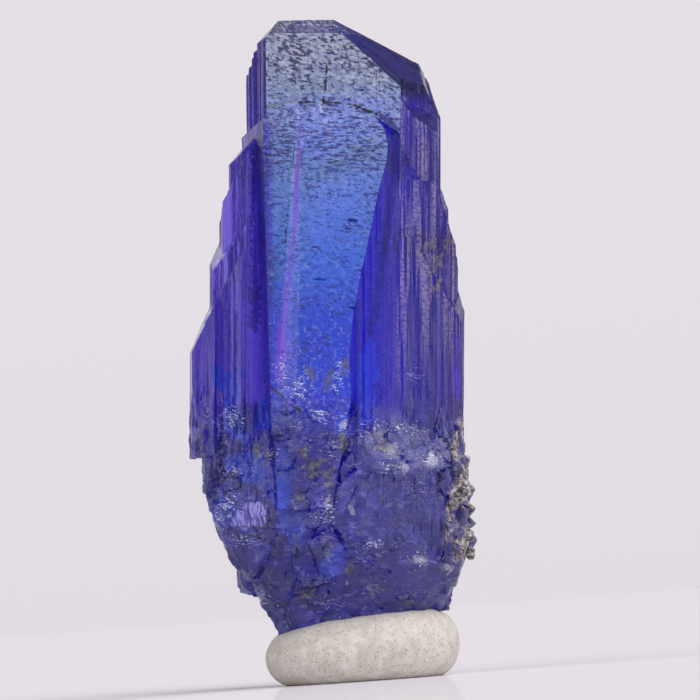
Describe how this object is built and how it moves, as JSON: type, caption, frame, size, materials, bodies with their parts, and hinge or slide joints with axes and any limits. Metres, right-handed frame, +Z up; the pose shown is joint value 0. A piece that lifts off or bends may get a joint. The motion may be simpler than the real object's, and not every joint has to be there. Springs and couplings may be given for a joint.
{
  "type": "rough tanzanite crystal specimen",
  "caption": "Rough blue-violet tanzanite crystal, striated blades grown together above a broken end, standing in a low lump of white mounting putty.",
  "frame": {"origin": "middle of the putty's flat foot", "axes": "+Z up, close to the crystal's long axis; the etched front face looks along -Y; +X to the right seen from the front"},
  "size_m": [0.0125, 0.009, 0.0288],
  "materials": {
    "tanzanite": "glossy natural crystal faces, etched in front, broken and crusted at the lower end",
    "mounting_putty": "soft, matte, lightly speckled"
  },
  "bodies": {
    "root": {"tanzanite_crystal": "tanzanite", "putty_base": "mounting_putty"}
  },
  "joints": []
}
